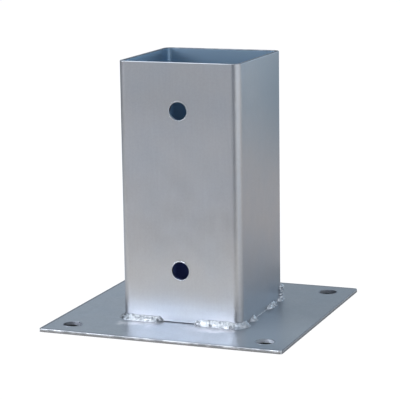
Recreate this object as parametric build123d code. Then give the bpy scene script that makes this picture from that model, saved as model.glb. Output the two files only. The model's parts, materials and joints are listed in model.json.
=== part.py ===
from build123d import *
from math import radians, sin
import os

# Post anchor: a square socket of bent sheet steel, welded on a plate that bolts down to concrete.
# Millimetres. +Z is up, the origin is the centre of the plate's underside, and the front wall of
# the socket, which has the bolt holes, faces -Y.

# Base plate
plate_side = 150.0
plate_thickness = 2.0
plate_corner_radius = 2.0
anchor_hole_diameter = 11.0
anchor_hole_margin = 15.0  # from a hole's centre to the two nearest edges

# Socket for a 70 mm post
socket_clear_width = 71.0
socket_wall = 2.0
socket_inner_bend = 3.0
socket_height = 153.6
root_gap = 0.4  # the slit that stays open under the socket between its welds
bolt_hole_diameter = 11.0
lower_bolt_height = 31.0  # from the socket's foot
bolt_hole_pitch = 94.4

# Sheared edges, rounded over on the side that the blade enters
arris_radius = 0.4
inner_rim_chamfer = 0.3

# Welds along the socket's foot, laid in ripples
bead_leg = 3.2
bead_swell = 0.3  # how far the ripples of a bead differ in height
ripple_pitch = 4.0
ripple_depth = 0.25
ripple_lean = 0.7  # where a ripple is highest, as a share of its pitch
nose_bulge = 0.74  # of a bead's round end, out and up, as a share of its height
ripple_phase = 2.3  # radians of the swell from one ripple to the next
corner_ripples = 3
crater_radius = 1.5
crater_depth = 0.6
side_run = 2.0  # along a side wall, from the end of the bend to the bead's round end
front_left_run = 17.5  # along the front wall
front_right_run = 21.5
back_run = 17.0
short_tack_run = 3.6  # between the round ends
short_tack_from_front = 20.0  # from the front wall to the middle of the tack
long_tack_run = 8.6
long_tack_from_back = 22.3

# What follows from these
socket_width = socket_clear_width + 2 * socket_wall
socket_outer_bend = socket_inner_bend + socket_wall
socket_foot = plate_thickness + root_gap
socket_top = socket_foot + socket_height
half_width = socket_width / 2
anchor_hole_spacing = plate_side - 2 * anchor_hole_margin
hole_overshoot = 1.0  # how far a cutter runs past the sheet


def socket_outline():
    return RectangleRounded(socket_width, socket_width, socket_outer_bend)


def base_plate():
    plate = extrude(RectangleRounded(plate_side, plate_side, plate_corner_radius), plate_thickness)
    plate = fillet(plate.edges().group_by(Axis.Z)[-1], arris_radius)
    anchor_hole = Cylinder(anchor_hole_diameter / 2, 2 * (plate_thickness + hole_overshoot))
    return plate - GridLocations(anchor_hole_spacing, anchor_hole_spacing, 2, 2) * anchor_hole


def bolt_hole(height):
    """The way of one through bolt, which passes the front wall and the back wall."""
    return Pos(0, 0, height) * Rot(90, 0, 0) * Cylinder(bolt_hole_diameter / 2, socket_width + 2 * hole_overshoot)


def rim_face(tube):
    return tube.faces().sort_by(Axis.Z)[-1]


def post_socket():
    inside = RectangleRounded(socket_clear_width, socket_clear_width, socket_inner_bend)
    tube = extrude(Pos(0, 0, socket_foot) * (socket_outline() - inside), socket_height)
    tube = fillet(rim_face(tube).outer_wire().edges(), arris_radius)
    tube = chamfer(rim_face(tube).inner_wires()[0].edges(), inner_rim_chamfer)
    lower_bolt = socket_foot + lower_bolt_height
    return tube - [bolt_hole(lower_bolt), bolt_hole(lower_bolt + bolt_hole_pitch)]


def crest(index):
    """Height of one ripple above the foot of the wall."""
    return bead_leg + bead_swell * sin(ripple_phase * index)


def valley(index):
    """Height of the bead between a ripple and the one before it."""
    return min(crest(index - 1), crest(index)) - ripple_depth


def straight_bead(run, round_start, crater):
    """A bead from the origin along +X, in the corner between a wall behind it and the plate under it."""
    ripples = max(1, round(run / ripple_pitch))
    pitch = run / ripples
    first, last = valley(0), valley(ripples)
    start = [(-first, 0), (-nose_bulge * first, nose_bulge * first)] if round_start else [(0, 0)]
    crests = [(0, first)]
    for i in range(ripples):
        crests.append(((i + ripple_lean) * pitch, crest(i)))
        crests.append(((i + 1) * pitch, valley(i + 1)))
    end = [(run + nose_bulge * last, nose_bulge * last), (run + last, 0)]
    outline = Polyline(start + crests + end, close=True)
    bead = revolve(Plane.XZ * make_face(outline), Axis.X, 90)
    if crater:
        slope = (last + crater_radius - crater_depth) * sin(radians(45))
        bead -= Pos(run, -slope, slope) * Sphere(crater_radius)
    return bead


def bend_bead():
    """The bead round a bend of the socket, from the front wall's end to the side wall's, about the origin."""
    turn = 90 / corner_ripples
    wedges = []
    for i in range(corner_ripples):
        height = crest(i + 1)
        section = Pos(socket_outer_bend, 0) * (Circle(height) & Rectangle(height, height, align=Align.MIN))
        wedges.append(Rot(0, 0, 180 + i * turn) * revolve(Plane.XZ * section, Axis.Z, turn))
    return Part() + wedges


def corner_weld(quarter_turns, run_before, run_after, crater_before=False, crater_after=False):
    """The weld round a corner of the socket, counted from the front left one."""
    after = straight_bead(run_after, False, crater_after)
    before = Rot(0, 0, 90) * mirror(straight_bead(run_before, False, crater_before), Plane.XZ)
    bend_centre = socket_outer_bend - half_width
    weld = Pos(bend_centre, bend_centre) * bend_bead()
    weld += Pos(bend_centre, -half_width) * after
    weld += Pos(-half_width, bend_centre) * before
    return Rot(0, 0, 90 * quarter_turns) * Pos(0, 0, plate_thickness) * weld


def right_wall_tack(middle, run):
    """A short weld on the right wall's foot, with its middle at that Y."""
    return Pos(half_width, middle - run / 2, plate_thickness) * Rot(0, 0, 90) * straight_bead(run, True, False)


nodes = {
    "base_plate": base_plate(),
    "post_socket": post_socket(),
    "weld_front_left": corner_weld(0, side_run, front_left_run, crater_after=True),
    "weld_front_right": corner_weld(1, front_right_run, side_run, crater_before=True),
    "weld_back_right": corner_weld(2, side_run, back_run),
    "weld_back_left": corner_weld(3, back_run, side_run),
    "weld_tack_right_front": right_wall_tack(short_tack_from_front - half_width, short_tack_run),
    "weld_tack_right_middle": right_wall_tack(half_width - long_tack_from_back, long_tack_run),
}

os.makedirs("parts", exist_ok=True)
for name, solid in nodes.items():
    export_step(solid, f"parts/{name}.step")
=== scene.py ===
"""The looks of the post anchor: galvanised sheet, rippled weld beads with their spatter, lips of zinc
round the holes, and a white studio. Metres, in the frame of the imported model: +Z is up and the front wall
faces -Y. Values that end in _band are two distances in millimetres short of an edge or height, one where a
look begins and one where it is whole."""
import json
import random
from math import cos, exp, pi, radians, sin, sqrt

import bmesh
import bpy
from mathutils import Matrix, Vector, noise


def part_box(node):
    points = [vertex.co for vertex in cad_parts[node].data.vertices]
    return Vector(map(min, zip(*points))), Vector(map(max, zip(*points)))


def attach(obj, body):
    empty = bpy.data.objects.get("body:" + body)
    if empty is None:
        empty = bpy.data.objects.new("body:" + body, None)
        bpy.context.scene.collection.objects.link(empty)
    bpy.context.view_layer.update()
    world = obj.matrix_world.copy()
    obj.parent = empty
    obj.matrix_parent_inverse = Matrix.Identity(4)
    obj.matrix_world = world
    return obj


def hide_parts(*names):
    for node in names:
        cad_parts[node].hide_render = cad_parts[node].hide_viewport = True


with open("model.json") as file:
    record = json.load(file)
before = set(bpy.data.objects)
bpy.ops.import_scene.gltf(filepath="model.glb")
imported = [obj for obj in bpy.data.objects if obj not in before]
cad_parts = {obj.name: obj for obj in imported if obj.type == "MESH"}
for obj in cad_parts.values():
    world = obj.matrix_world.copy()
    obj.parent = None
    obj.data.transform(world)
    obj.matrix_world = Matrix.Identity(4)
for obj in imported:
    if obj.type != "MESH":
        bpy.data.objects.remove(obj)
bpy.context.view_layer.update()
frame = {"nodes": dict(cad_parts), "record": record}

MM = 0.001

# The object's own sizes, from the frame and the record, but for the outer bend, which neither of them gives
plate_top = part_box("base_plate")[1].z
plate_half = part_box("base_plate")[1].x
socket_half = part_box("post_socket")[1].x
socket_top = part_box("post_socket")[1].z
outer_bend = 5.0 * MM
mounts = {mount["name"]: mount for mount in frame["record"]["mounts"]}
anchor_pitch = mounts["anchor_holes"]["dims"]["spacing_x_mm"] * MM
anchor_hole_radius = mounts["anchor_holes"]["dims"]["hole_r_mm"] * MM
bolt_hole_radius = mounts["post_bolt_lower"]["dims"]["r_mm"] * MM
bolt_heights = [mounts[name]["pos_m"][2] for name in ("post_bolt_lower", "post_bolt_upper")]

# The camera that the photograph's edges fit
camera_place = (374.9 * MM, -957.0 * MM, 271.9 * MM)
camera_azimuth = radians(21.487)
camera_elevation = radians(11.179)
camera_roll = radians(-0.836)
camera_lens = 156.85
camera_sensor = 36.0
camera_nearest = 0.05
camera_farthest = 50.0

# Weld beads along the socket's foot
bead_leg = 3.05 * MM
bead_step = 0.16 * MM  # from one row of points to the next
bead_face_points = 22
bead_sizes = {"weld_tack_right_front": 0.85, "weld_tack_right_middle": 0.75, "weld_back_right": 0.72}
plate_reach = 1.2  # out along the plate, as a share of the height up the wall
convexity = 0.88
end_roundness = 0.8
thinnest = 0.02 * MM
ripple_pitch = 1.75 * MM
ripple_depth = 0.16 * MM
ripple_bow = 0.495  # how far a ripple trails at wall and plate, in pitches
ripple_wander = 0.5
ripple_wander_length = 3.1 * MM
lump_share = 0.19
lump_length = 2.6 * MM
fine_lump_share = 0.05
fine_lump_length = 0.9 * MM
crater_radius = 2.3 * MM  # of the craters where the front beads stop
groove_place = 0.6  # out from a crater's middle, as a share of its radius, as the two widths below are
groove_width = 0.25
crater_rim_width = 0.3
crater_rim_height = 0.3  # as a share of its depth
deep_crater = 0.8 * MM  # a crater of that depth gets the darkest painted shade
high_lump = 0.6 * MM  # a lump of that height gets the brightest painted highlight
side_run = 2.0 * MM
front_left_run = 18.6 * MM
front_right_run = 21.5 * MM
back_run = 17.0 * MM
short_tack_run = 3.6 * MM
short_tack_middle = -17.5 * MM
long_tack_run = 8.6 * MM
long_tack_middle = 15.2 * MM

# The weld that climbs the back right bend
rise_height = 7.2 * MM
rise_radius = 3.4 * MM
rise_sink = 1.5 * MM
rise_azimuth = radians(32)
rise_points = 26
rise_lump_length = 1.6 * MM
rise_lump_share = 0.12
drop_length = 1.6 * MM
drop_share = 0.15
pit_angle = radians(148)
pit_radius = 0.66 * MM
pit_depth = 0.5 * MM
# Painted highlight on the climbing weld, less where it has its pit
rise_highlight_share = 0.15

# Zinc lips, fillet and spatter
lip_thickness = 0.32 * MM
lip_offset = 0.15 * MM
lip_flatness = 0.55
lip_unevenness = 0.35
fillet_radius = 0.55 * MM
fillet_step = 0.5 * MM
fillet_points = 6
fillet_sink = 0.1 * MM
fillet_unevenness = 0.3
fillet_swell_length = 2.2 * MM
droplets = 14
seed = 7

# Zinc: features across in millimetres, and heights of its bump
mottle_size = 22
fleck_size = 1.3
streak_stretch = 14
streak_share = 0.015
sheen_size = 9
sheen_spread = 0.03
grain_size = 0.5
grain_stretch = 10
grain_height = 0.01 * MM
grain_strength = 0.5
wave_size = 16
wave_height = 6.0  # in heights of the grain, as bend_lump_height is
bend_lump_size = 2.4
bend_lump_height = 24.0

# Looks of the socket
wall_cool = (0.327, 0.341, 0.367, 1)
wall_warm = (0.339, 0.345, 0.362, 1)
wall_edge_tint = (0.62, 0.66, 0.72, 1)
wall_roughness = 0.35
wall_fleck_share = 0.025
# Painted shade: a duller, darker grey high on the back part of the right wall, where its reflection is darker
painted_right_wall_shade = (0.26, 0.28, 0.305, 1)
right_wall_shade_roughness = 0.36
# Painted shade: the front wall is darker in the few millimetres above its foot, by the joint with the plate
painted_foot_shade = (0.30, 0.31, 0.33, 1)
foot_shade_band = (-4.5, -2.0)
foot_shade_roughness = 0.36
# Painted light and shade: the inside faces are painted bluer for the blue light inside the socket, and more
# navy and a little darker lower down for its shade
painted_blue_inside = (0.347, 0.48, 0.607, 1)
painted_deep_navy = (0.36, 0.40, 0.68, 1)
inside_roughness = 0.39
inner_face_band = (1.4, 1.7)
# Painted highlight on the rim's outer arris, fading to painted shade before the right wall's end
painted_arris_highlight = (0.52, 0.55, 0.59, 1)
painted_faded_arris = (0.28, 0.295, 0.32, 1)
arris_band = (0.45, 0.3)
arris_fade_band = (11.0, 3.5)
# Painted shade on the rim's flat top and inner chamfer, darker in patches towards the back
painted_dark_rim = (0.24, 0.255, 0.275, 1)
rim_band = (0.06, 0.03)
rim_roughness = 0.3
rim_patch_size = 3.5
right_wall_band = (2.0, 0.5)
front_wall_band = (-1.0, -0.5)

# Looks of the plate
plate_cool = (0.315, 0.35, 0.386, 1)
plate_warm = (0.33, 0.358, 0.386, 1)
plate_edge_tint = (0.95, 0.97, 1.0, 1)
plate_roughness = 0.345
plate_fleck_share = 0.06
# Painted reflection: the plate is painted paler in front of the two front beads, where it mirrors the bright
# foot of the wall
painted_reflection_colour = (0.70, 0.695, 0.71, 1)
reflection_reach = 17.0 * MM
reflection_wander = 5.0 * MM
reflection_wander_size = 6.5
reflection_start = (7 * MM, 17 * MM)  # out from the middle, to the left and the right
reflection_end = (38 * MM, 30 * MM)
reflection_roughness = 0.36
# Painted light: the plate is painted slightly paler beside the socket's front right bend
painted_corner_light_colour = (0.47, 0.51, 0.545, 1)
corner_light_place = (43.0 * MM, -50.0 * MM, 0)
corner_light_reach = 58.0 * MM
# Painted shade on the plate's edges, and in patches on the socket's rim
painted_dark_edge = (0.105, 0.115, 0.13, 1)
edge_band = (0.45, 0.25)
edge_roughness = 0.3
front_edge_band = (-1.3, -1.0)
right_edge_band = (2.6, 2.3)
# Painted shade: a dull margin along the left and back edges of the plate's top
margin_band = (2.1, 1.4)
margin_share = 0.75
margin_roughness = 0.4
# Painted highlight in dashes on the plate's front edge
painted_dull_dash = (0.20, 0.21, 0.225, 1)
painted_bright_dash = (0.43, 0.445, 0.465, 1)
dash_size = 3.0
dash_stretch = 2.5
# Painted shade low on the plate's front edge, where it is rough
painted_lower_edge_shade = (0.17, 0.17, 0.172, 1)
lower_edge_height = (0.95 * MM, 0.8 * MM)
lower_edge_wander = 0.3 * MM
lower_edge_wander_size = 2.5
lower_edge_roughness = 0.5
# Painted shade on the anchor holes' walls, with painted light making the front right one paler
painted_hole_shade = (0.30, 0.32, 0.36, 1)
painted_hole_light = (0.56, 0.60, 0.65, 1)
hole_wall_reach = (0.25 * MM, 0.05 * MM)
hole_wall_roughness = 0.55

# Looks of the zinc lips
lip_cool = (0.36, 0.385, 0.42, 1)
lip_warm = (0.40, 0.42, 0.45, 1)
lip_edge_tint = (0.8, 0.85, 0.9, 1)
lip_roughness = 0.28
lip_fleck_share = 0.03
dull_lip_colour = (0.26, 0.285, 0.32, 1)
dull_lip_height = (6.0 * MM, 4.0 * MM)
dull_lip_roughness = 0.4

# Looks of the welds, each from the dark to the light of its patches: painted light on the front beads,
# painted shade on the others and on the left end, painted highlights on the lumps and painted shade in the
# pits
painted_lit_weld = (0.27, 0.285, 0.305, 1), (0.46, 0.48, 0.505, 1)
painted_shaded_weld = (0.25, 0.275, 0.31, 1), (0.33, 0.36, 0.40, 1)
painted_dark_weld = (0.11, 0.125, 0.14, 1), (0.34, 0.375, 0.41, 1)
painted_lit_highlight = (0.85, 0.87, 0.9, 1)
painted_shaded_highlight = (0.42, 0.46, 0.51, 1)
painted_pit_shade = (0.15, 0.165, 0.185, 1)
weld_patch_size = 1.5
shaded_side_band = (5.0, 1.5)
dark_end_band = (-8.0, -2.5)
weld_roughness = (0.34, 0.46)
weld_sheen_size = 1.4
weld_bump_size = 1.6
weld_bump_height = 0.2 * MM
weld_bump_strength = 0.45

# Studio
floor_side = 12.0
floor_glow = 0.89
floor_shade = (0.15, 0.15, 0.15, 1)
under_plate_shade = (0.02, 0.02, 0.02, 1)
sky_light = (0.75, 0.78, 0.82, 1)
white = (1, 1, 1, 1)
card_aim = Vector((0, 0, 0.08))
lamp_aim = Vector((0, 0, 0.05))
mat_height = 2.0 * MM
near_mat_height = 2.5 * MM

random.seed(seed)


# Node helpers


def add_node(tree, kind, values=None, **settings):
    """A node with its settings and inputs; an input given as another node's output is linked."""
    node = tree.nodes.new(kind)
    for key, value in settings.items():
        setattr(node, key, value)
    for key, value in (values or {}).items():
        if isinstance(value, bpy.types.NodeSocket):
            tree.links.new(value, node.inputs[key])
        else:
            node.inputs[key].default_value = value
    return node


def math_node(tree, operation, *values):
    return add_node(tree, "ShaderNodeMath", dict(enumerate(values)), operation=operation).outputs[0]


def vector_node(tree, operation, *values):
    return add_node(tree, "ShaderNodeVectorMath", dict(enumerate(values)), operation=operation).outputs


def product(tree, first, *others):
    for other in others:
        first = math_node(tree, "MULTIPLY", first, other)
    return first


def mix_colour(tree, factor, first, second):
    node = add_node(tree, "ShaderNodeMix", data_type="RGBA")
    sockets = {"Factor": factor, "A": first, "B": second}
    for socket in node.inputs:
        if socket.name in sockets and socket.type in ("RGBA", "VALUE") and socket.enabled:
            value = sockets[socket.name]
            if isinstance(value, bpy.types.NodeSocket):
                tree.links.new(value, socket)
            else:
                socket.default_value = value
    return next(output for output in node.outputs if output.type == "RGBA")


def mix_value(tree, factor, first, second):
    return add_node(tree, "ShaderNodeMix", {0: factor, 2: first, 3: second}).outputs[0]


def range_node(tree, value, low, high, to_low=0.0, to_high=1.0):
    values = {"Value": value, "From Min": low, "From Max": high, "To Min": to_low, "To Max": to_high}
    return add_node(tree, "ShaderNodeMapRange", values).outputs["Result"]


def band_node(tree, value, edge, band, whole=1.0):
    """From 0 at the band's first distance short of the edge to the whole at its second one."""
    start, end = band
    return range_node(tree, value, edge - start * MM, edge - end * MM, 0.0, whole)


def noise_node(tree, place, size, stretch=(1, 1, 1), detail=2.0):
    """Noise whose features are about that many millimetres across, longer by the stretch along each axis."""
    scale = [1 / (MM * size * factor) for factor in stretch]
    mapped = add_node(tree, "ShaderNodeMapping", {"Vector": place, "Scale": scale})
    values = {"Vector": mapped.outputs[0], "Scale": 1.0, "Detail": detail, "Roughness": 0.5}
    return add_node(tree, "ShaderNodeTexNoise", values).outputs["Fac"]


def varied(tree, place, size, low=0.0, high=1.0, between=(0.3, 0.7), **settings):
    """Noise that goes from low to high while its own value goes between the two given."""
    return range_node(tree, noise_node(tree, place, size, **settings), *between, low, high)


def axes_of(tree, place):
    return add_node(tree, "ShaderNodeSeparateXYZ", {"Vector": place}).outputs


def place_node(tree):
    return add_node(tree, "ShaderNodeTexCoord").outputs["Object"]


def new_material(name):
    material = bpy.data.materials.new(name)
    material.use_nodes = True
    material.node_tree.nodes.clear()
    return material, material.node_tree


def finish_tree(tree, shader, kind="ShaderNodeOutputMaterial"):
    tree.links.new(shader.outputs[0], add_node(tree, kind).inputs["Surface"])


# Materials of the object


def galvanised(name, cool, warm, roughness, edge_tint, fleck_share, dull):
    """Zinc coated sheet: soft mottling from cool to warm grey, streaks and flecks, a fine rolled grain in the
    bump and small lumps of zinc on the bends. Dull lists, from the tree and the place, how far the surface is
    another face, such as a cut or hidden one, with that face's colour and roughness; many of these colours
    are painted shade, painted highlight or painted reflection."""
    material, tree = new_material(name)
    place = place_node(tree)
    patches = varied(tree, place, mottle_size, between=(0.35, 0.65), detail=3.0)
    colour = mix_colour(tree, patches, cool, warm)
    streak_form = (1, 1, streak_stretch)
    streaks = varied(tree, place, fleck_size, 1 - streak_share, 1 + streak_share, stretch=streak_form)
    fleck = varied(tree, place, fleck_size, 1 - fleck_share, 1 + fleck_share)
    grey = product(tree, streaks, fleck)
    colour = add_node(tree, "ShaderNodeVectorMath", {0: colour, "Scale": grey}, operation="SCALE").outputs[0]
    rough = varied(tree, place, sheen_size, roughness - sheen_spread, roughness + sheen_spread, detail=3.0)
    for share, dull_colour, dull_roughness in dull(tree, place):
        colour = mix_colour(tree, share, colour, dull_colour)
        rough = mix_value(tree, share, rough, dull_roughness)
    grain = noise_node(tree, place, grain_size, stretch=(grain_stretch, grain_stretch, 1), detail=3.0)
    waves = noise_node(tree, place, wave_size, detail=0.0)
    relief = math_node(tree, "ADD", grain, product(tree, waves, wave_height))
    relief = math_node(tree, "ADD", relief, bend_lumps(tree, place))
    bump_values = {"Strength": grain_strength, "Distance": grain_height, "Height": relief}
    bump = add_node(tree, "ShaderNodeBump", bump_values)
    finish_tree(tree, add_node(tree, "ShaderNodeBsdfPrincipled", {
        "Base Color": colour, "Metallic": 1.0, "Roughness": rough, "Specular Tint": edge_tint,
        "Normal": bump.outputs[0],
    }))
    return material


def bend_lumps(tree, place):
    """Height of the small lumps of zinc on the socket's bends, where both X and Y are far out."""
    axes = axes_of(tree, place)
    inner = math_node(tree, "MINIMUM", *[math_node(tree, "ABSOLUTE", axes[name]) for name in ("X", "Y")])
    bend_band = (outer_bend / MM, 0.6 * outer_bend / MM)
    on_bend = band_node(tree, inner, socket_half, bend_band, bend_lump_height)
    above_plate = band_node(tree, axes["Z"], plate_top, (0.0, -1.0))
    lumps = noise_node(tree, place, bend_lump_size, detail=1.0)
    return product(tree, lumps, on_bend, above_plate)


def square_distance(tree, place):
    """Distance from the middle, measured along the nearer of the X and Y axes."""
    axes = axes_of(tree, place)
    sides = [math_node(tree, "ABSOLUTE", axes[name]) for name in ("X", "Y")]
    return math_node(tree, "MAXIMUM", *sides)


def socket_faces(tree, place):
    """A duller patch of painted shade high on the right wall, painted shade on the front wall's foot, the
    inside of the socket painted bluer for the light in it and more navy deep down for its shade, a painted
    highlight on the outer arris of its rim, and painted shade on the dark rest of the rim with its inner
    chamfer."""
    distance = square_distance(tree, place)
    axes = axes_of(tree, place)
    # Painted shade high on the back part of the right wall
    right_wall = band_node(tree, axes["X"], socket_half, right_wall_band)
    back_part = range_node(tree, axes["Y"], -0.4 * socket_half, socket_half)
    top_part = range_node(tree, axes["Z"], 0.45 * socket_top, 0.85 * socket_top)
    right_wall_shade = product(tree, right_wall, back_part, top_part)
    front_wall = band_node(tree, axes["Y"], -socket_half, front_wall_band)
    # Painted shade on the front wall's foot
    foot = product(tree, front_wall, band_node(tree, axes["Z"], plate_top, foot_shade_band))
    inside = band_node(tree, distance, socket_half, inner_face_band)
    # Painted blue light inside the socket, more navy lower down for painted shade
    deep = range_node(tree, axes["Z"], 0.55 * socket_top, 0.25 * socket_top)
    painted_inside_tint = mix_colour(tree, deep, painted_blue_inside, painted_deep_navy)
    arris = band_node(tree, axes["Z"], socket_top, arris_band)
    flat = band_node(tree, axes["Z"], socket_top, rim_band)
    rim = math_node(tree, "MAXIMUM", flat, product(tree, inside, arris))
    return [
        (right_wall_shade, painted_right_wall_shade, right_wall_shade_roughness), (foot, painted_foot_shade, foot_shade_roughness),
        (inside, painted_inside_tint, inside_roughness), (arris, painted_arris_light(tree, axes), rim_roughness),
        (rim, rim_with_patches(tree, place, axes), rim_roughness),
    ]


def painted_arris_light(tree, axes):
    """The rim's outer arris has a painted highlight on the front wall, which fades to painted shade before
    its right end.
    """
    fading = band_node(tree, axes["X"], socket_half, arris_fade_band)
    return mix_colour(tree, fading, painted_arris_highlight, painted_faded_arris)


def rim_with_patches(tree, place, axes):
    """The rim's painted shade, darker in patches towards the back wall."""
    dark_patches = varied(tree, place, rim_patch_size, 0.3, 1.0, between=(0.42, 0.58), detail=3.0)
    back = product(tree, dark_patches, range_node(tree, axes["Y"], 0.0, 0.8 * socket_half))
    return mix_colour(tree, back, painted_dark_rim, painted_dark_edge)


def plate_faces(tree, place):
    """Painted reflection and painted light that make the plate paler by the socket, the plate's edges and the
    walls of its anchor holes. The front edge is bright in dashes of painted highlight and rough with painted
    shade below, and the others are dark with painted shade, the left and back ones with a dull margin of
    painted shade."""
    distance = square_distance(tree, place)
    axes = axes_of(tree, place)
    side = band_node(tree, distance, plate_half, edge_band)
    front = band_node(tree, axes["Y"], -plate_half, front_edge_band)
    right = band_node(tree, axes["X"], plate_half, right_edge_band)
    # Painted shade: a dull margin along the left and back edges
    left_and_back = math_node(tree, "SUBTRACT", 1.0, math_node(tree, "MAXIMUM", front, right))
    margin = product(tree, band_node(tree, distance, plate_half, margin_band, margin_share), left_and_back)
    # Painted highlight in dashes on the front edge, painted shade on the other edges
    dash_form = (dash_stretch, dash_stretch, 1)
    dashes = varied(tree, place, dash_size, between=(0.4, 0.6), stretch=dash_form)
    painted_dashes = mix_colour(tree, dashes, painted_dull_dash, painted_bright_dash)
    painted_edge_tones = mix_colour(tree, front, painted_dark_edge, painted_dashes)
    # Painted shade low on the edges, where they are rough
    wander = varied(tree, place, lower_edge_wander_size, -lower_edge_wander, lower_edge_wander, detail=3.0)
    depth = math_node(tree, "ADD", axes["Z"], wander)
    lower_edge = product(tree, side, range_node(tree, depth, *lower_edge_height))
    painted_lower_tones = mix_colour(tree, front, painted_dark_edge, painted_lower_edge_shade)
    hole_wall, painted_hole_tones = anchor_hole_walls(tree, place, axes)
    return [
        (painted_corner_light(tree, place, axes), painted_corner_light_colour, reflection_roughness),
        (painted_weld_reflection(tree, place, axes), painted_reflection_colour, reflection_roughness),
        (margin, painted_dark_edge, margin_roughness), (side, painted_edge_tones, edge_roughness),
        (lower_edge, painted_lower_tones, lower_edge_roughness), (hole_wall, painted_hole_tones, hole_wall_roughness),
    ]


def anchor_hole_walls(tree, place, axes):
    """How far a place is on an anchor hole's wall, and that wall's colour, painted shade in the holes and
    painted light that makes the front right one paler.
    """
    middle = (anchor_pitch / 2, anchor_pitch / 2, plate_top)
    quarter_place = vector_node(tree, "ABSOLUTE", place)[0]
    from_middle = vector_node(tree, "SUBTRACT", quarter_place, middle)[0]
    flat = vector_node(tree, "MULTIPLY", from_middle, (1, 1, 0))[0]
    reach = vector_node(tree, "LENGTH", flat)["Value"]
    start, end = hole_wall_reach
    wall = range_node(tree, reach, anchor_hole_radius + start, anchor_hole_radius + end)
    to_front_right = math_node(tree, "SUBTRACT", axes["X"], axes["Y"])
    pale = range_node(tree, to_front_right, 0.7 * anchor_pitch, 0.8 * anchor_pitch)
    return wall, mix_colour(tree, pale, painted_hole_shade, painted_hole_light)


def painted_corner_light(tree, place, axes):
    """How far the plate has the painted light, a slightly paler colour, beside the socket's front right bend.
    """
    reach = vector_node(tree, "DISTANCE", place, corner_light_place)["Value"]
    near = range_node(tree, reach, corner_light_reach, 0.15 * corner_light_reach)
    beside = range_node(tree, axes["X"], 0.75 * corner_light_place[0], corner_light_place[0])
    return product(tree, near, beside)


def painted_weld_reflection(tree, place, axes):
    """How far the plate has the painted reflection, a paler colour, that lies in front of the two front
    beads, with an uneven edge.
    """
    wander = varied(tree, place, reflection_wander_size, -reflection_wander, reflection_wander, detail=3.0)
    beyond_wall = math_node(tree, "SUBTRACT", product(tree, axes["Y"], -1.0), socket_half)
    out = math_node(tree, "ADD", beyond_wall, wander)
    near = range_node(tree, out, reflection_reach, 0.3 * reflection_reach)
    before = range_node(tree, beyond_wall, -0.5 * MM, 0.5 * MM)
    aside = math_node(tree, "ADD", math_node(tree, "ABSOLUTE", axes["X"]), wander)
    beside = product(tree, range_node(tree, aside, *reflection_start), range_node(tree, aside, *reflection_end))
    return product(tree, near, before, beside)


def lip_faces(tree, place):
    """The lips of the anchor holes, duller than those of the bolt holes above them."""
    low = range_node(tree, axes_of(tree, place)["Z"], *dull_lip_height)
    return [(low, dull_lip_colour, dull_lip_roughness)]


def weld_zinc(name):
    """Zinc over weld metal: painted bright on the front beads and duller with painted shade on the rest,
    darker still on the left end, with painted highlights on the smooth lumps and painted shade in the dark
    pits."""
    material, tree = new_material(name)
    place = place_node(tree)
    axes = axes_of(tree, place)
    patches = varied(tree, place, weld_patch_size, between=(0.38, 0.54))
    # The smooth attribute sets a painted highlight, and the hollow one a painted shade
    smooth = add_node(tree, "ShaderNodeAttribute", attribute_name="smooth").outputs["Fac"]
    hollow = add_node(tree, "ShaderNodeAttribute", attribute_name="hollow").outputs["Fac"]
    bright = mix_colour(tree, smooth, mix_colour(tree, patches, *painted_lit_weld), painted_lit_highlight)
    dull = mix_colour(tree, smooth, mix_colour(tree, patches, *painted_shaded_weld), painted_shaded_highlight)
    # Painted light on the front beads, painted shade on the side and back ones
    side = band_node(tree, math_node(tree, "ABSOLUTE", axes["X"]), socket_half, shaded_side_band)
    behind = range_node(tree, axes["Y"], -0.5 * socket_half, 0.5 * socket_half)
    colour = mix_colour(tree, math_node(tree, "MAXIMUM", side, behind), bright, dull)
    # Painted shade on the left end, round the front left bend
    left = band_node(tree, axes["X"], -socket_half, dark_end_band)
    colour = mix_colour(tree, left, colour, mix_colour(tree, patches, *painted_dark_weld))
    # Painted shade in the craters' grooves and the pits
    colour = mix_colour(tree, hollow, colour, painted_pit_shade)
    rough = varied(tree, place, weld_sheen_size, *weld_roughness)
    lumps = noise_node(tree, place, weld_bump_size, detail=1.0)
    bump_values = {"Strength": weld_bump_strength, "Distance": weld_bump_height, "Height": lumps}
    bump = add_node(tree, "ShaderNodeBump", bump_values)
    finish_tree(tree, add_node(tree, "ShaderNodeBsdfPrincipled", {
        "Base Color": colour, "Metallic": 1.0, "Roughness": rough, "Normal": bump.outputs[0],
    }))
    return material


# Meshes


def finish_mesh(name, mesh, material):
    """The mesh as a smooth piece of the object, with its material."""
    bmesh.ops.recalc_face_normals(mesh, faces=mesh.faces)
    data = bpy.data.meshes.new(name)
    mesh.to_mesh(data)
    mesh.free()
    data.shade_smooth()
    data.materials.append(material)
    piece = bpy.data.objects.new(name, data)
    bpy.context.scene.collection.objects.link(piece)
    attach(piece, "root")
    return piece


def skin_rows(mesh, rows):
    """Faces between rows of points that each go once round, and one face over each end."""
    for row, following in zip(rows, rows[1:]):
        for i in range(len(row)):
            j = (i + 1) % len(row)
            mesh.faces.new((row[i], row[j], following[j], following[i]))
    mesh.faces.new(rows[0])
    mesh.faces.new(reversed(rows[-1]))


def weld_mesh():
    """An empty mesh with its layers for how hollow and how smooth the weld is at a point, which its material
    paints as shade and highlight.
    """
    mesh = bmesh.new()
    return mesh, [mesh.verts.layers.float.new(feature) for feature in ("hollow", "smooth")]


def weld_point(mesh, layers, place, hollow, smooth):
    vertex = mesh.verts.new(place)
    vertex[layers[0]], vertex[layers[1]] = hollow, smooth
    return vertex


def bump_at(distance, width):
    """1 in the middle of a smooth rise, falling off over about its width."""
    return exp(-(distance / width) ** 2)


# Weld beads


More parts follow.
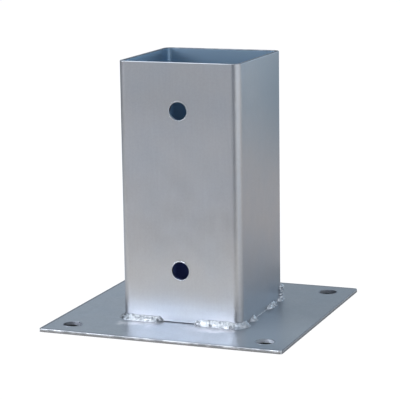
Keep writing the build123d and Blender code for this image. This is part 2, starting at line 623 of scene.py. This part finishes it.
def foot_path(quarter_turns, run_before, run_after):
    """Point and outward normal along the socket's foot, by the way gone, round one corner from the front left
    one. The way is 0 at the start of the bend and grows anticlockwise seen from above."""
    bend = socket_half - outer_bend
    quarter = outer_bend * pi / 2
    turn = Matrix.Rotation(quarter_turns * pi / 2, 3, "Z")

    def at(way):
        if way < 0:
            point, normal = Vector((-socket_half, -bend - way, 0)), Vector((-1, 0, 0))
        elif way < quarter:
            angle = pi + way / outer_bend
            normal = Vector((cos(angle), sin(angle), 0))
            point = Vector((-bend, -bend, 0)) + outer_bend * normal
        else:
            point, normal = Vector((-bend + way - quarter, -socket_half, 0)), Vector((0, -1, 0))
        return turn @ point, turn @ normal

    return at, -run_before, quarter + run_after


def wall_path(middle, run):
    """The same along the right wall, without a bend."""

    def at(way):
        return Vector((socket_half, middle + way, 0)), Vector((1, 0, 0))

    return at, -run / 2, run / 2


def ripple(way, angle, offset):
    """How far a bead stands out at a place, from 0 in the valley between two ripples to 1 on a crest."""
    bow = ripple_bow * (4 * angle / pi - 1) ** 2
    wander = ripple_wander * noise.noise(Vector((way / ripple_wander_length, offset, 0)))
    share = (way / ripple_pitch + bow + wander) % 1.0
    return sin(pi * share) ** 0.6


def bead_face(way, angle, start, end, offset, craters, lumps):
    """Distance of a bead's face from the corner of wall and plate, and how hollow and how smooth it is, for
    its painted shade and painted highlight.
    """
    lumpy = noise.noise(Vector((way / lump_length, angle * 1.1, offset)))
    fine = noise.noise(Vector((way / fine_lump_length, angle * 2.0, offset + 9)))
    leg = bead_leg * (1 + lump_share * lumpy + fine_lump_share * fine)
    face = leg / (cos(angle) ** convexity + sin(angle) ** convexity) ** (1 / convexity)
    face += ripple_depth * (ripple(way, angle, offset) - 0.5) * sin(2 * angle) ** 0.5
    beyond = max(start - way, way - end, 0) / bead_leg
    face *= max(0.0, 1 - beyond ** 2) ** end_roundness
    face_radius = 0.75 * bead_leg
    hollow, smooth = 0.0, 0.0
    for centre, rise, radius, depth in craters:
        distance = sqrt((way - centre) ** 2 + ((angle - rise) * face_radius) ** 2)
        rim = bump_at(distance - radius, crater_rim_width * radius)
        groove = bump_at(distance - groove_place * radius, groove_width * radius)
        face += crater_rim_height * depth * rim - depth * groove
        hollow = max(hollow, groove * min(1, depth / deep_crater))
    for centre, rise, length, width, height in lumps:
        swell = bump_at(way - centre, length) * bump_at((angle - rise) * face_radius, width)
        face += height * swell
        smooth = max(smooth, swell * min(1, height / high_lump))
    return max(face, thinnest), hollow, smooth


def make_bead(name, path, craters, lumps, size, material):
    """A closed bead: rows of points across its face at each step of the way, with a spine in the corner."""
    at, start, end = path
    steps = int((end - start + 2 * bead_leg) / bead_step) + 1
    offset = random.uniform(0, 50)
    mesh, layers = weld_mesh()
    rows = []
    for way in [start - bead_leg + i * bead_step for i in range(steps)]:
        point, normal = at(way)
        foot = point + Vector((0, 0, plate_top))
        row = [mesh.verts.new(foot)]
        for i in range(bead_face_points):
            angle = pi / 2 * i / (bead_face_points - 1)
            inner_angle = min(max(angle, 1e-4), pi / 2 - 1e-4)
            radius, hollow, smooth = bead_face(way, inner_angle, start, end, offset, craters, lumps)
            radius *= size
            face = radius * Vector((0, 0, sin(angle))) + radius * plate_reach * cos(angle) * normal
            row.append(weld_point(mesh, layers, foot + face, hollow, smooth))
        rows.append(row)
    skin_rows(mesh, rows)
    return finish_mesh(name, mesh, material)


def make_welds(material):
    """The six beads. A crater is the way to it, its angle above the plate, its radius and its depth. A smooth
    lump is the way to it, its angle, its length, its width and its height."""
    bend_end = outer_bend * pi / 2
    left_end = bend_end + front_left_run
    right_start = -front_right_run
    welds = {
        "weld_front_left": (foot_path(0, side_run, front_left_run), [
            (left_end + 1.1 * MM, radians(48), crater_radius, 0.6 * MM),
            (2.0 * MM, radians(60), 0.8 * MM, 0.5 * MM),
            (5.2 * MM, radians(35), 0.8 * MM, 0.5 * MM),
        ], [
            (bend_end + 12.0 * MM, radians(35), 2.2 * MM, 0.6 * MM, 0.35 * MM),
        ]),
        "weld_front_right": (foot_path(1, front_right_run, side_run), [
            (right_start - 0.2 * MM, radians(50), crater_radius, 0.4 * MM),
            (-0.6 * MM, radians(22), 0.9 * MM, 0.6 * MM),
            (right_start + 8.2 * MM, radians(24), 1.0 * MM, 0.45 * MM),
        ], [
            (right_start + 3.6 * MM, radians(50), 3.0 * MM, 1.2 * MM, 0.6 * MM),
            (right_start + 11.0 * MM, radians(36), 1.5 * MM, 1.0 * MM, 0.25 * MM),
            (-6.5 * MM, radians(55), 1.6 * MM, 0.8 * MM, 0.2 * MM),
            (-3.4 * MM, radians(26), 1.8 * MM, 1.0 * MM, 0.3 * MM),
        ]),
        "weld_back_right": (foot_path(2, side_run, back_run), [], []),
        "weld_back_left": (foot_path(3, back_run, side_run), [], []),
        "weld_tack_right_front": (wall_path(short_tack_middle, short_tack_run), [], []),
        "weld_tack_right_middle": (wall_path(long_tack_middle, long_tack_run), [
            (1.0 * MM, radians(25), 1.3 * MM, 0.5 * MM),
            (4.6 * MM, radians(50), 1.5 * MM, 0.4 * MM),
        ], [
            (-4.8 * MM, radians(30), 1.6 * MM, 1.0 * MM, 0.3 * MM),
            (-1.0 * MM, radians(58), 1.5 * MM, 0.8 * MM, 0.3 * MM),
        ]),
    }
    for node, (path, craters, lumps) in welds.items():
        bead = make_bead(node + "_bead", path, craters, lumps, bead_sizes.get(node, 1.0), material)
        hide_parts(node)


def make_corner_rise(material):
    """The weld that climbs the back right bend from the bead at its foot, and ends in a drop with a pit."""
    out = Vector((cos(rise_azimuth), sin(rise_azimuth), 0))
    along = Vector((-sin(rise_azimuth), cos(rise_azimuth), 0))
    bend = socket_half - outer_bend
    spine = Vector((bend, bend, plate_top)) + (outer_bend - rise_sink) * out
    mesh, layers = weld_mesh()
    rows = []
    for i in range(int((rise_height + rise_radius) / bead_step) + 1):
        height = i * bead_step
        beyond = max(0.0, height - rise_height) / rise_radius
        drop = drop_share * bump_at(height - rise_height, drop_length)
        row = []
        for j in range(rise_points):
            angle = pi * j / (rise_points - 1)
            lumpy = noise.noise(Vector((height / rise_lump_length, angle * 1.4, 77)))
            radius = rise_radius * (1 + drop + rise_lump_share * lumpy)
            radius += 0.5 * ripple_depth * sin(2 * pi * height / ripple_pitch + angle)
            distance = sqrt((height - rise_height) ** 2 + ((angle - pit_angle) * rise_radius) ** 2)
            pit = bump_at(distance, pit_radius)
            radius -= pit_depth * pit
            radius *= sqrt(max(0.0, 1 - beyond ** 2))
            side = cos(angle) * along + sin(angle) * out
            place = spine + max(radius, thinnest) * side + Vector((0, 0, height))
            row.append(weld_point(mesh, layers, place, pit, rise_highlight_share * (1 - pit)))
        rows.append(row)
    skin_rows(mesh, rows)
    finish_mesh("weld_corner_rise", mesh, material)


def make_spatter(material):
    """Droplets of weld metal that stuck to the plate beside the beads."""
    mesh = bmesh.new()
    for _ in range(droplets):
        radius = random.uniform(0.15, 0.3) * MM
        wall = random.randrange(4)
        along = random.uniform(-0.9, 0.9) * socket_half
        out = socket_half + bead_leg + random.uniform(0.3, 2.5) * MM
        place = Matrix.Rotation(wall * pi / 2, 3, "Z") @ Vector((along, -out, plate_top))
        squat = Matrix.Diagonal((1, random.uniform(0.75, 1), 0.65, 1))
        matrix = Matrix.Translation(place) @ squat
        bmesh.ops.create_icosphere(mesh, subdivisions=2, radius=radius, matrix=matrix)
    finish_mesh("weld_spatter", mesh, material)


# Zinc lips and fillet


def add_ring(mesh, centre, axis, hole_radius):
    """A lip of zinc round a hole's edge, a little uneven."""
    around, across = 72, 10
    turn = axis.to_track_quat("Z", "Y").to_matrix()
    rows = []
    for i in range(around):
        angle = 2 * pi * i / around
        out = Vector((cos(angle), sin(angle), 0))
        swell = lip_thickness * (1 + lip_unevenness * noise.noise(out * 2 + centre * 90))
        row = []
        for j in range(across):
            tilt = 2 * pi * j / across
            place = out * (hole_radius + lip_offset + swell * cos(tilt))
            place += Vector((0, 0, lip_flatness * swell * sin(tilt)))
            row.append(mesh.verts.new(centre + turn @ place))
        rows.append(row)
    for i in range(around):
        row, following = rows[i], rows[(i + 1) % around]
        for j in range(across):
            k = (j + 1) % across
            mesh.faces.new((row[j], following[j], following[k], row[k]))


def make_hole_lips(material):
    mesh = bmesh.new()
    for height in bolt_heights:
        for side in (-1, 1):
            add_ring(mesh, Vector((0, side * socket_half, height)), Vector((0, side, 0)), bolt_hole_radius)
    for x in (-1, 1):
        for y in (-1, 1):
            centre = Vector((x * anchor_pitch / 2, y * anchor_pitch / 2, plate_top))
            add_ring(mesh, centre, Vector((0, 0, 1)), anchor_hole_radius)
    finish_mesh("zinc_hole_lips", mesh, material)


def make_foot_fillet(material):
    """The zinc that closed the joint at the foot of the right wall between the tacks."""
    reach = socket_half - outer_bend
    mesh = bmesh.new()
    rows = []
    for i in range(int(2 * reach / fillet_step) + 1):
        y = -reach + i * fillet_step
        uneven = fillet_unevenness * noise.noise(Vector((40, y / fillet_swell_length, 0)))
        swell = fillet_radius * (1 + uneven)
        corner = Vector((socket_half - fillet_sink, y, plate_top - fillet_sink))
        row = [mesh.verts.new(corner)]
        for j in range(fillet_points):
            angle = pi / 2 * j / (fillet_points - 1)
            face = swell / (cos(angle) + sin(angle))
            row.append(mesh.verts.new(corner + face * Vector((cos(angle), 0, sin(angle)))))
        rows.append(row)
    skin_rows(mesh, rows)
    finish_mesh("zinc_foot_fillet", mesh, material)


# Studio


def camera_view(tree):
    """1 for rays that come straight from the camera, off a gloss or through glass, and 0 for the rest."""
    light_path = add_node(tree, "ShaderNodeLightPath").outputs
    seen = math_node(tree, "MAXIMUM", light_path["Is Camera Ray"], light_path["Is Glossy Ray"])
    return math_node(tree, "MAXIMUM", seen, light_path["Is Transmission Ray"])


def make_world():
    world = bpy.data.worlds.new("studio")
    bpy.context.scene.world = world
    world.use_nodes = True
    tree = world.node_tree
    tree.nodes.clear()
    colour = mix_colour(tree, camera_view(tree), sky_light, white)
    background = add_node(tree, "ShaderNodeBackground", {"Color": colour, "Strength": 1.0})
    finish_tree(tree, background, "ShaderNodeOutputWorld")


def make_plane(name, size, place, facing, material):
    """A flat rectangle round a place, facing a direction."""
    mesh = bpy.data.meshes.new(name)
    half_x, half_y = size[0] / 2, size[1] / 2
    corners = [(-half_x, -half_y, 0), (half_x, -half_y, 0), (half_x, half_y, 0), (-half_x, half_y, 0)]
    mesh.from_pydata(corners, [], [(0, 1, 2, 3)])
    plane = bpy.data.objects.new(name, mesh)
    bpy.context.scene.collection.objects.link(plane)
    plane.location = place
    plane.rotation_mode = "QUATERNION"
    plane.rotation_quaternion = Vector(facing).to_track_quat("Z", "Y")
    mesh.materials.append(material)
    return plane


def make_floor():
    """A pale floor that shows white, with the object's own shadow left on it."""
    material, tree = new_material("floor")
    clear = band_node(tree, square_distance(tree, place_node(tree)), plate_half, (1.0, 0.0))
    shade = mix_colour(tree, clear, under_plate_shade, floor_shade)
    diffuse = add_node(tree, "ShaderNodeBsdfDiffuse", {"Color": shade})
    strength = product(tree, clear, floor_glow)
    glow = add_node(tree, "ShaderNodeEmission", {"Color": white, "Strength": strength})
    both = add_node(tree, "ShaderNodeAddShader", {0: diffuse.outputs[0], 1: glow.outputs[0]})
    shaders = {0: camera_view(tree), 1: diffuse.outputs[0], 2: both.outputs[0]}
    finish_tree(tree, add_node(tree, "ShaderNodeMixShader", shaders))
    make_plane("floor", (floor_side, floor_side), (0, 0, 0), (0, 0, 1), material)


def make_card(name, size, place, shade, facing=None, casts_shadow=False):
    """A card that only reflections see, facing the object if nothing else is said."""
    material, tree = new_material(name)
    finish_tree(tree, add_node(tree, "ShaderNodeEmission", {"Color": (*shade, 1), "Strength": 1.0}))
    card = make_plane(name, size, place, facing or card_aim - Vector(place), material)
    card.visible_camera = False
    card.visible_diffuse = False
    card.visible_shadow = casts_shadow


def make_mat(name, size, middle, shade, height=mat_height):
    """A card that lies just over the floor."""
    make_card(name, size, (*middle, height), shade, facing=(0, 0, 1))


def make_soft_box(name, size, place, radiance, colour):
    """A lamp that lights the object without showing in its gloss, where a card stands for it."""
    lamp = bpy.data.lights.new(name, "AREA")
    lamp.shape = "RECTANGLE"
    lamp.size, lamp.size_y = size
    lamp.energy = radiance * pi * size[0] * size[1]
    lamp.color = colour
    light = bpy.data.objects.new(name, lamp)
    bpy.context.scene.collection.objects.link(light)
    light.location = place
    light.rotation_mode = "QUATERNION"
    light.rotation_quaternion = (Vector(place) - lamp_aim).to_track_quat("Z", "Y")
    light.visible_glossy = False


def make_camera():
    data = bpy.data.cameras.new("camera")
    data.lens, data.sensor_width = camera_lens, camera_sensor
    data.clip_start, data.clip_end = camera_nearest, camera_farthest
    azimuth, elevation = camera_azimuth, camera_elevation
    back = Vector((sin(azimuth) * cos(elevation), -cos(azimuth) * cos(elevation), sin(elevation)))
    level = Vector((cos(azimuth), sin(azimuth), 0))
    upright = back.cross(level)
    right = cos(camera_roll) * level + sin(camera_roll) * upright
    up = cos(camera_roll) * upright - sin(camera_roll) * level
    camera = bpy.data.objects.new("camera", data)
    bpy.context.scene.collection.objects.link(camera)
    turn = Matrix((right, up, back)).transposed().to_4x4()
    camera.matrix_world = Matrix.Translation(camera_place) @ turn
    bpy.context.scene.camera = camera


def make_lights():
    """The lamps, and the cards and mats that each surface of the metal mirrors."""
    make_soft_box("key_box", size=(1.2, 0.85), place=(-0.58, -1.46, 0.80), radiance=3.0,
                  colour=(1.0, 0.97, 0.94))
    make_card("front_left_card", size=(1.2, 0.85), place=(-0.585, -1.47, 0.81), shade=(13.0, 13.6, 14.9))
    make_mat("front_mat", size=(1.0, 0.335), middle=(-0.25, -0.3325), shade=(0.635, 0.60, 0.575))
    make_mat("front_far_mat", size=(1.2, 0.7), middle=(-0.4, -0.85), shade=(0.78, 0.87, 1.0))
    make_soft_box("top_box", size=(1.2, 1.2), place=(0.0, 0.3, 1.6), radiance=2.2, colour=(0.7, 0.86, 1.0))
    make_card("top_card", size=(1.2, 1.2), place=(0.0, 0.3, 1.6), shade=(1.25, 1.45, 1.65))
    make_card("front_top_card", size=(0.9, 0.9), place=(-0.5, -0.2, 1.2), shade=(3.0, 3.2, 3.4))
    make_card("front_flag", size=(0.36, 0.3), place=(-0.16, -0.32, 0.325), shade=(0.85, 0.87, 0.9),
              casts_shadow=True)
    make_mat("front_near_mat", size=(1.0, 0.085), middle=(-0.3, -0.1225), shade=(1.42, 1.39, 1.33),
             height=near_mat_height)
    make_card("left_front_card", size=(0.8, 0.6), place=(-1.3, -0.75, 0.75), shade=(15.0, 15.5, 17.0))
    make_card("camera_side_card", size=(0.27, 0.4), place=(0.115, -0.325, 0.2), shade=(0.36, 0.40, 0.46))
    make_card("right_card", size=(0.6, 0.5), place=(0.40, -0.10, 0.25), shade=(1.5, 1.55, 1.6))
    make_card("left_card", size=(0.8, 0.5), place=(-0.5, 0.05, 0.25), shade=(0.38, 0.405, 0.43))
    make_card("back_left_card", size=(1.4, 1.2), place=(-1.33, 1.45, 0.55), shade=(0.57, 0.64, 0.72))
    make_card("back_middle_card", size=(1.0, 1.2), place=(-0.20, 1.75, 0.55), shade=(0.45, 0.51, 0.57))
    make_card("back_right_card", size=(1.3, 0.36), place=(0.72, 1.57, 0.3), shade=(2.4, 2.95, 3.35))
    make_card("back_dim_card", size=(1.8, 1.0), place=(0.45, 1.5, 1.0), shade=(0.45, 0.49, 0.55))
    make_mat("back_right_near_mat", size=(0.6, 0.5), middle=(0.27, 0.37), shade=(1.05, 0.95, 0.88))
    # Painted shadow: dark mats by the socket's foot that reflections see where the object's contact shadow
    # lies on the floor
    make_mat("back_foot_shadow_mat", size=(0.11, 0.042), middle=(0.022, 0.098), shade=(0.45, 0.49, 0.53),
             height=near_mat_height)
    make_mat("right_foot_shadow_mat", size=(0.075, 0.22), middle=(0.1155, 0.08), shade=(0.66, 0.70, 0.75),
             height=near_mat_height)
    make_card("left_edge_card", size=(0.3, 0.5), place=(-0.43, 0.24, 0.2), shade=(0.34, 0.36, 0.38))
    make_mat("back_right_far_mat", size=(1.0, 0.9), middle=(0.5, 1.07), shade=(0.50, 0.66, 0.76))


make_camera()
make_world()
make_floor()
make_lights()

socket_look = galvanised("galvanised_socket", wall_cool, wall_warm, wall_roughness, wall_edge_tint,
                         wall_fleck_share, socket_faces)
plate_look = galvanised("galvanised_plate", plate_cool, plate_warm, plate_roughness, plate_edge_tint,
                        plate_fleck_share, plate_faces)
weld_look = weld_zinc("zinc_on_weld")
lip_look = galvanised("zinc_lip", lip_cool, lip_warm, lip_roughness, lip_edge_tint,
                      lip_fleck_share, lip_faces)

for node, look in (("post_socket", socket_look), ("base_plate", plate_look)):
    carried = frame["nodes"][node]
    carried.data.materials.clear()
    carried.data.materials.append(look)

make_welds(weld_look)
make_corner_rise(weld_look)
make_spatter(weld_look)
make_hole_lips(lip_look)
make_foot_fillet(socket_look)

bpy.context.scene.view_settings.view_transform = "Standard"
